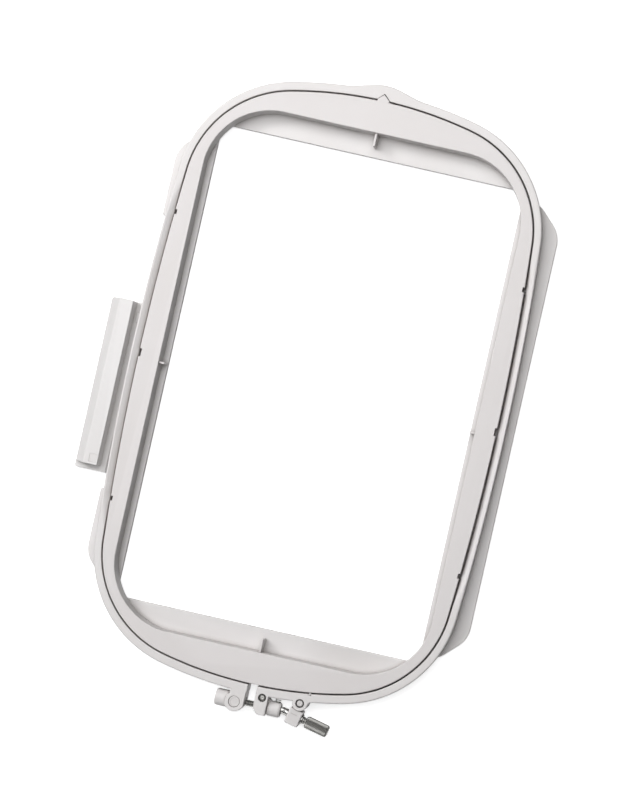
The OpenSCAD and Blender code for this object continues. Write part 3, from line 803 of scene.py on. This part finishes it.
def connector_shell():
    """Raised cover over the channel, open at one end, with screw bosses inside and a shallow recess."""
    shell = hull("connector_shell", shell_corners(0, BLOCK_Y), 0.5)
    cut(shell, hull("cutter", shell_corners(SHELL_T, (BLOCK_Y[0] - OVER, BLOCK_Y[1] - END_WALL)), 0.3))
    bosses = [prism("boss", circle(p, BOSS_R, 32), (SHELL_Z, BOSS_TOP), top=0.2, bottom=0.1)
              for p in COVER_SCREWS]
    join(shell, *[keep(boss, hull("cutter", shell_corners(0, BLOCK_Y), 0.5)) for boss in bosses])
    cut(shell, *[hole(circle(p, SCREW_R + PIN_FIT, 24), (SHELL_Z, BOSS_HOLE_TOP), top=None, bottom=0.1)
                 for p in COVER_SCREWS])
    recess = soften(span(RECESS_X, RECESS_Y), 0.5)
    cut(shell, hole(recess, (CONNECTOR_H - RECESS_DEPTH, CONNECTOR_H), top=0.15, bottom=None))
    return settle(shell, "connector_cover", "outer", "connector_plastic")


SOCKET_R, SOCKET_DEPTH = 0.8, 0.6


def threaded(radius, depth, pitch, ends, fade=0.6):
    """Radius of a screw thread, with its first and last turns running out."""
    def radius_at(turns, h):
        wave = abs((h / pitch - turns / (2 * HALF_TURN)) % 1 - 0.5) * 2
        run_out = min(1, (h - ends[0]) / fade, (ends[1] - h) / fade)
        return radius - depth * wave * max(0, run_out)
    return radius_at


def self_tapping_screws(name, places, head_r, top, node):
    """Pan-headed screws with a hexagonal socket, heads down."""
    pan = soften([(head_r - 0.35, 0.05), (head_r, 0.3), (head_r, SCREW_HEAD_H)], 0.25, closed=False)
    ends = (SCREW_HEAD_H - 0.1, top)
    thread = threaded(SCREW_R, 0.28, 0.9, ends, fade=0.3)
    screws = None
    for p in places:
        head = turned(name, pan, upright(p), segments=40)
        join(head, ridged("shank", thread, ends, upright(p), 20, int(8 * (top - 1))))
        cut(head, hole(circle(p, SOCKET_R, 6), (0, SOCKET_DEPTH), top=None, bottom=0))
        screws = join(screws, head) if screws else head
    return settle(screws, node, "outer", "zinc_steel")


# ---------------------------------------------------------------- rod, its nut and its sleeve
def swivel_nut():
    """Trunnion with chamfered ends and a dished top, bored across for the rod."""
    r = NUT_R - 0.02
    profile = soften([(2.2, 0.2), (2.75, 0.2), (r, 0.5), (r, 10.5), (2.7, 10.8), (2.2, 10.8),
                      (2.1, 10.65), (0.5, 10.65)], 0.15, closed=False)
    nut = turned("swivel_nut_round", profile, upright(NUT))
    cut(nut, turned("cutter", [(ROD_R + PIN_FIT, -20), (ROD_R + PIN_FIT, 0)], along_x()))
    return settle(nut, "swivel_nut", "rod", "clamp_plastic")


SLEEVE_X, SLEEVE_R = (-18.1, ARM_LUG_X - 0.7), 4.5


def rod_sleeve():
    """Cap on the rod's end, hollowed where it meets the round of the lug."""
    x0, x1 = SLEEVE_X
    outside = [(0.4, x0), (SLEEVE_R - 0.5, x0), (SLEEVE_R, x0 + 0.6),
               (SLEEVE_R, x1 - 0.2), (SLEEVE_R - 0.2, x1), (0.4, x1)]
    sleeve = turned("rod_end_sleeve", soften(outside, (0, 0.4, 0.3, 0.2, 0.2, 0), closed=False), along_x())
    cut(sleeve, turned("cutter", [(ROD_R + PIN_FIT, x0 + 1.2), (ROD_R + PIN_FIT, 0)], along_x()),
        hole(circle(NUT, LUG_R + 0.2, 96), (0, WALL_H), top=0, bottom=0))
    return settle(sleeve, "rod_sleeve", "rod", "clamp_plastic")


EYE_R, EYE_T, EYE_HOLE_R, EYE_TURN, NECK = 1.9, 1.6, 1.25, 1.9, 2.9


def tension_rod():
    """Threaded rod whose flattened end is the knuckle's eye."""
    ends = (SLEEVE_X[0] + 1.3, KNUCKLE[0] - NECK)
    rod = ridged("threaded_rod", threaded(ROD_R, 0.3, 0.75, ends), ends, along_x(), 28,
                 int(10 * (ends[1] - ends[0])))
    z = (CLAMP_Z - EYE_T / 2, CLAMP_Z + EYE_T / 2)
    x, y = KNUCKLE
    eye = np.vstack((arc((x, y), EYE_R, -EYE_TURN, EYE_TURN, 20),
                     [(x - NECK - 0.8, y + 1.4), (x - NECK - 0.8, y - 1.4)]))
    join(rod, prism("eye", eye, z, top=0.2, bottom=0.2))
    cut(rod, hole(circle(KNUCKLE, EYE_HOLE_R, 32), z, top=0.15, bottom=0.15))
    return settle(rod, "tension_rod", "rod", "plated_steel")


GUIDE_X, GUIDE_R = (LUG_X[1] + 0.2, 17.0), 4.1


def guide_sleeve():
    """Sleeve with room round the rod, an ear on its pivot pin and a seat for the spring."""
    x0, x1 = GUIDE_X
    bore, mouth, mouth_l = ROD_R + 0.5, 3.0, 3
    section = [(bore, x0), (GUIDE_R - 0.25, x0), (GUIDE_R, x0 + 0.25), (GUIDE_R, x1 - 1),
               (GUIDE_R - 0.6, x1), (mouth, x1), (mouth, x1 - mouth_l), (bore, x1 - mouth_l)]
    sleeve = bored("guide_sleeve_body", soften(section, 0.2, steps=2), along_x())
    y = NUT[1]
    ear = np.vstack((arc(GUIDE_PIVOT, EAR_R, math.radians(77), math.radians(257), 24),
                     [(x0 + 1.6, y + 2.6), (x0 + 1.6, y + 3.7)]))
    join(sleeve, prism("ear", ear, EAR_Z, top=0.3, bottom=0.3))
    cut(sleeve, hole(circle(GUIDE_PIVOT, GUIDE_PIN_R + TURN_FIT, 32), EAR_Z, top=0.1, bottom=0.1),
        spring_seat(y + GUIDE_R - 0.6, towards=-1, depth=3))
    return settle(sleeve, "guide_sleeve", "guide", "clamp_plastic")


def pivot_pin(name, point, radius, top, node, slot):
    """Pin with a chamfered top and a small centre mark."""
    profile = [(radius - 0.25, 0.3), (radius, 0.55), (radius, top - 0.3), (radius - 0.3, top), (0.35, top),
               (0.2, top - 0.2)]
    pin = turned(name, soften(profile, 0.1, closed=False), upright(point), segments=40)
    return settle(pin, node, "outer", slot)


def retaining_ring(name, point, inner_r, outer_r, node):
    """Push-on ring with teeth that grip the pin."""
    z = WALL_H - BOSS_DEPTH + 0.02
    section = [(inner_r + PIN_FIT, z), (outer_r, z), (outer_r, z + 0.34), (outer_r - 0.16, z + 0.48),
               (inner_r + PIN_FIT, z + 0.48)]
    ring = bored(name, section, upright(point), segments=72, teeth=6, tooth=0.22)
    return settle(ring, node, "outer", "dark_steel")


def return_spring():
    """Helix whose end turns lie flat."""
    turns, wire, radius, flat = 4.5, 0.22, 1.4, 0.1
    lo, hi = SPRING_Y
    t = np.linspace(0, 1, 180)
    y = lo + wire + (hi - lo - 2 * wire) * ramp(t, flat, 1 - flat)
    angle = 2 * HALF_TURN * turns * t
    line = np.column_stack((SPRING_X + radius * np.cos(angle), y, CLAMP_Z + radius * np.sin(angle)))
    spring = coil("return_spring_coil", line, wire)
    settle(spring, "return_spring", None, "zinc_steel")
    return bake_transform(spring)


# ---------------------------------------------------------------- release block, fork nut, thumbscrew
# S runs along the thumbscrew from the knuckle, T across it.
BLOCK_S, BLOCK_T, BLOCK_HALF_Z = (2.4, 9.9), (-4.5, 4.3), 4.15
GROOVE_S, GROOVE_T, GROOVE_DEPTH = (4, 7.4), (1.2, 1.7), 0.3
FORK_R, FORK_END, SHANK_R = 2.1, 6.8, 1.5
PIN_R, PIN_HALF_L = 0.8, 1.85
WASHER_S, WASHER_R = (9.95, 10.65), 2.9
COLLAR_R, KNOB_S, KNOB_L, KNOB_R = 2.0, 12.7, 12.8, 3.3
KNURLS, KNURL_DEPTH, KNOB_CHAMFER = 30, 0.28, 0.7
SLOT_W, SLOT_DEPTH = 1.0, 1.4


def screw_hole(start, end, radius):
    """Cutter along the thumbscrew's axis."""
    return turned("cutter", [(radius, start), (radius, end)], ALONG_SCREW)


def release_block():
    """Block with a bore for fork nut and screw, hollowed round the leg, with an ear on its pin."""
    body = block("release_block_body", BLOCK_S, BLOCK_T, (-BLOCK_HALF_Z, BLOCK_HALF_Z), bevel=0.7)
    in_screw_frame(body)
    cut(body, hole(circle(RELEASE_PIVOT, LEG_R + 0.3), (-OVER, WALL_H + OVER), top=0, bottom=0))
    x, y = RELEASE_PIVOT
    ear = np.vstack(([(x - EAR_R, y), (x - 3.6, y - 4), (x + 2, y - 5.4)],
                     arc((x, y), EAR_R, 0, HALF_TURN, 24)[:-1]))
    join(body, prism("ear", ear, EAR_Z, top=0.2, bottom=0.2))
    groove = box(GROOVE_S, GROOVE_T, (BLOCK_HALF_Z - GROOVE_DEPTH, BLOCK_HALF_Z + OVER))
    cut(body, hole(circle(RELEASE_PIVOT, RELEASE_PIN_R + TURN_FIT, 40), EAR_Z, top=0.1, bottom=0.1),
        in_screw_frame(groove), screw_hole(0, FORK_END + 0.3, FORK_R + PIN_FIT),
        screw_hole(0, BLOCK_S[1] + OVER, SHANK_R + 0.1))
    return settle(body, "release_block", "release", "clamp_plastic")


def fork_nut():
    """Round nut with a rounded fork at one end and the thumbscrew's thread at the other."""
    profile = soften([(FORK_R - 0.2, -FORK_R), (FORK_R, 0.2 - FORK_R), (FORK_R, FORK_END - 0.2),
                      (FORK_R - 0.2, FORK_END)], 0.1, closed=False)
    nut = turned("fork_nut_body", profile, ALONG_SCREW)
    z = (CLAMP_Z - FORK_R - OVER, CLAMP_Z + FORK_R + OVER)
    beyond = (-2 * FORK_R, 2 * FORK_R)
    rounded = join(prism("end", circle(KNUCKLE, FORK_R, 40), z, top=0, bottom=0),
                   in_screw_frame(box((0, FORK_END + OVER), beyond, beyond)))
    keep(nut, rounded)
    fork_half = EYE_T / 2 + 0.15
    cut(nut, in_screw_frame(box((-2 * FORK_R, EYE_R + 0.7), beyond, (-fork_half, fork_half))),
        screw_hole(EYE_R, FORK_END + OVER, SHANK_R + PIN_FIT),
        prism("cutter", circle(KNUCKLE, PIN_R + PIN_FIT, 24), z, top=0, bottom=0))
    return settle(nut, "fork_nut", "release", "plated_steel")


def knuckle_pin():
    """Chamfered pin through the fork and the rod's eye."""
    end = PIN_HALF_L - 0.15
    profile = soften([(PIN_R - 0.2, -PIN_HALF_L), (PIN_R, -end), (PIN_R, end), (PIN_R - 0.2, PIN_HALF_L)],
                     0.1, closed=False)
    pin = turned("knuckle_pin_round", profile, upright(KNUCKLE, CLAMP_Z), segments=28)
    return settle(pin, "knuckle_pin", "release", "plated_steel")


def thrust_washer():
    """Washer between the block and the thumbscrew's collar."""
    s0, s1 = WASHER_S
    bore = SHANK_R + TURN_FIT
    section = soften([(bore, s0), (WASHER_R, s0), (WASHER_R, s1), (bore, s1)], 0.18, steps=3)
    washer = bored("thrust_washer_ring", section, ALONG_SCREW)
    return settle(washer, "thrust_washer", "release", "plated_steel")


def knurled(turns, s):
    """Radius of the knob: straight knurling, chamfered and smooth at both ends."""
    end = KNOB_S + KNOB_L
    edge = min(1, (s - KNOB_S) / KNOB_CHAMFER, (end - s) / KNOB_CHAMFER)
    ridge = abs(((turns * KNURLS / (2 * HALF_TURN)) % 1) - 0.5) * 2
    return KNOB_R - KNOB_CHAMFER * (1 - max(0, edge)) - KNURL_DEPTH * ridge * (edge > 0.35)


def thumbscrew():
    """Fine-threaded shank, collar and slotted, knurled knob."""
    ends = (EYE_R + 0.8, WASHER_S[1] + 0.1)
    screw = ridged("thumbscrew_body", threaded(SHANK_R, 0.22, 0.6, ends), ends, ALONG_SCREW, 24, 70)
    collar = [(COLLAR_R - 0.2, WASHER_S[1] + 0.05), (COLLAR_R, WASHER_S[1] + 0.25), (COLLAR_R, 11.6),
              (COLLAR_R - 0.25, 11.9), (COLLAR_R - 0.25, KNOB_S + 0.1)]
    join(screw, turned("collar", soften(collar, 0.1, closed=False), ALONG_SCREW),
         ridged("knob", knurled, (KNOB_S, KNOB_S + KNOB_L), ALONG_SCREW, 180, 50))
    end = KNOB_S + KNOB_L
    slot = box((end - SLOT_DEPTH, end + OVER), (-2 * KNOB_R, 2 * KNOB_R), (-SLOT_W / 2, SLOT_W / 2))
    cut(screw, in_screw_frame(slot))
    return settle(screw, "thumbscrew", "screw", "plated_steel", finish="knob_steel")


# ---------------------------------------------------------------- build
outer_hoop()
clamp_arm()
inner_hoop()
connector_base()
connector_shell()
self_tapping_screws("bracket_screw_set", BRACKET_SCREWS, BRACKET_HEAD_R, BRACKET_HOLE_TOP - 0.4,
                    "bracket_screws")
self_tapping_screws("cover_screw_set", COVER_SCREWS, COVER_HEAD_R, BOSS_HOLE_TOP - 0.3, "cover_screws")
swivel_nut()
rod_sleeve()
tension_rod()
guide_sleeve()
pivot_pin("guide_pin_round", GUIDE_PIVOT, GUIDE_PIN_R, WALL_H - 0.4, "guide_pin", "zinc_steel")
retaining_ring("guide_ring", GUIDE_PIVOT, GUIDE_PIN_R, GUIDE_BOSS_R - 0.1, "guide_pin_ring")
pivot_pin("release_pin_round", RELEASE_PIVOT, RELEASE_PIN_R, WALL_H - 0.3, "release_pin", "clamp_plastic")
retaining_ring("release_ring", RELEASE_PIVOT, RELEASE_PIN_R, RELEASE_BOSS_R - 0.1, "release_pin_ring")
return_spring()
release_block()
fork_nut()
knuckle_pin()
thrust_washer()
thumbscrew()


# ---------------------------------------------------------------- floor, light and camera
FLOOR_HALF, FLOOR_Z, FLOOR_GLOW = 3000.0, -0.3, 0.66


def floor():
    """Large pale sheet on a light table. It throws no light back on the object's sides."""
    corners = span((-FLOOR_HALF, FLOOR_HALF), (-FLOOR_HALF, FLOOR_HALF)) * MM
    mesh = bpy.data.meshes.new("floor")
    mesh.from_pydata([(x, y, 0) for x, y in corners], [], [(0, 1, 2, 3)])
    sheet = add_object("floor", mesh)
    sheet.location.z = FLOOR_Z * MM
    n = Nodes("floor_paper")
    base = n.mix(n.spread(n.noise(300, 3), 0, 1), (0.76, 0.76, 0.76, 1), (0.8, 0.8, 0.8, 1))
    n.feed(n.shader.inputs["Emission Color"], (1, 1, 1, 1))
    n.feed(n.shader.inputs["Emission Strength"], FLOOR_GLOW)
    mesh.materials.append(n.finish(colour=base, roughness=0.9, specular=0.1))
    sheet.visible_diffuse = False


BRIGHT_SIDE = (-0.55, -0.65, 0.52)


def sky(strength, backdrop):
    """Dim surroundings, darkest away from the bright side, and a pale backdrop for the camera."""
    world = bpy.data.worlds.new("studio")
    bpy.context.scene.world = world
    world.use_nodes = True
    tree = world.node_tree
    new, link = tree.nodes.new, tree.links.new
    side = new("ShaderNodeVectorMath")
    side.operation = "DOT_PRODUCT"
    side.inputs[1].default_value = BRIGHT_SIDE
    link(new("ShaderNodeTexCoord").outputs["Generated"], side.inputs[0])
    dim = new("ShaderNodeMapRange")
    for key, value in (("From Min", -0.4), ("From Max", 1), ("To Min", 0), ("To Max", strength)):
        dim.inputs[key].default_value = value
    link(side.outputs["Value"], dim.inputs["Value"])
    level = new("ShaderNodeMix")
    link(new("ShaderNodeLightPath").outputs["Is Camera Ray"], level.inputs["Factor"])
    link(dim.outputs["Result"], level.inputs["A"])
    level.inputs["B"].default_value = backdrop
    link(level.outputs["Result"], tree.nodes["Background"].inputs["Strength"])
    tree.nodes["Background"].inputs["Color"].default_value = (1, 1, 1, 1)


def panel(name, place, aim, size, power):
    """Soft rectangular light, in millimetres and watts."""
    light = bpy.data.lights.new(name, "AREA")
    light.shape = "RECTANGLE"
    light.size, light.size_y = size[0] * MM, size[1] * MM
    light.energy = power
    obj = add_object(name, light)
    obj.location = Vector(place) * MM
    obj.rotation_euler = (Vector(aim) - Vector(place)).to_track_quat("-Z", "Y").to_euler()


PHOTO_TURN = math.radians(12.7)           # the hoop lies turned clockwise in the picture
EYE = Vector((150.0, -15.0, 950.0))       # over a point beside the hoop's centre
PICTURE_AT = Vector((-3.65, -4.7))        # what the middle of the picture shows, at the height of the wall
PICTURE_H = 420.0                         # height of the picture there


def camera():
    """Looks straight down, its film parallel to the hoop, and is shifted sideways like a view camera.

    The shift holds only at this place: wherever else the camera is set, its lens is centred.
    """
    data = bpy.data.cameras.new("camera")
    obj = add_object("camera", data)
    obj.location = EYE * MM
    obj.rotation_euler = (0, 0, PHOTO_TURN)
    data.lens = data.sensor_width * (EYE.z - WALL_H) / PICTURE_H
    offset = PICTURE_AT - EYE.to_2d()
    c, s = math.cos(PHOTO_TURN), math.sin(PHOTO_TURN)
    shift = ((c * offset.x + s * offset.y) / PICTURE_H, (c * offset.y - s * offset.x) / PICTURE_H)
    for path, value in zip(("shift_x", "shift_y"), shift):
        driver = data.driver_add(path).driver
        place = driver.variables.new()
        place.name = "x"
        place.type = "TRANSFORMS"
        place.targets[0].id = obj
        place.targets[0].transform_type = "LOC_X"
        driver.expression = f"{value:.5f} if abs(x - {EYE.x * MM:.5f}) < 0.00001 else 0"
    bpy.context.scene.camera = obj


floor()
sky(strength=0.06, backdrop=0.95)
panel("overhead", place=(-130, 430, 1000), aim=(-130, 430, 0), size=(1250, 1200), power=14)
panel("side", place=(-1150, 500, 960), aim=(0, 0, 0), size=(600, 400), power=11)
panel("front", place=(-100, -900, 350), aim=(0, NUT[1], 0), size=(600, 300), power=1.6)
camera()
bpy.context.scene.view_settings.view_transform = "Standard"
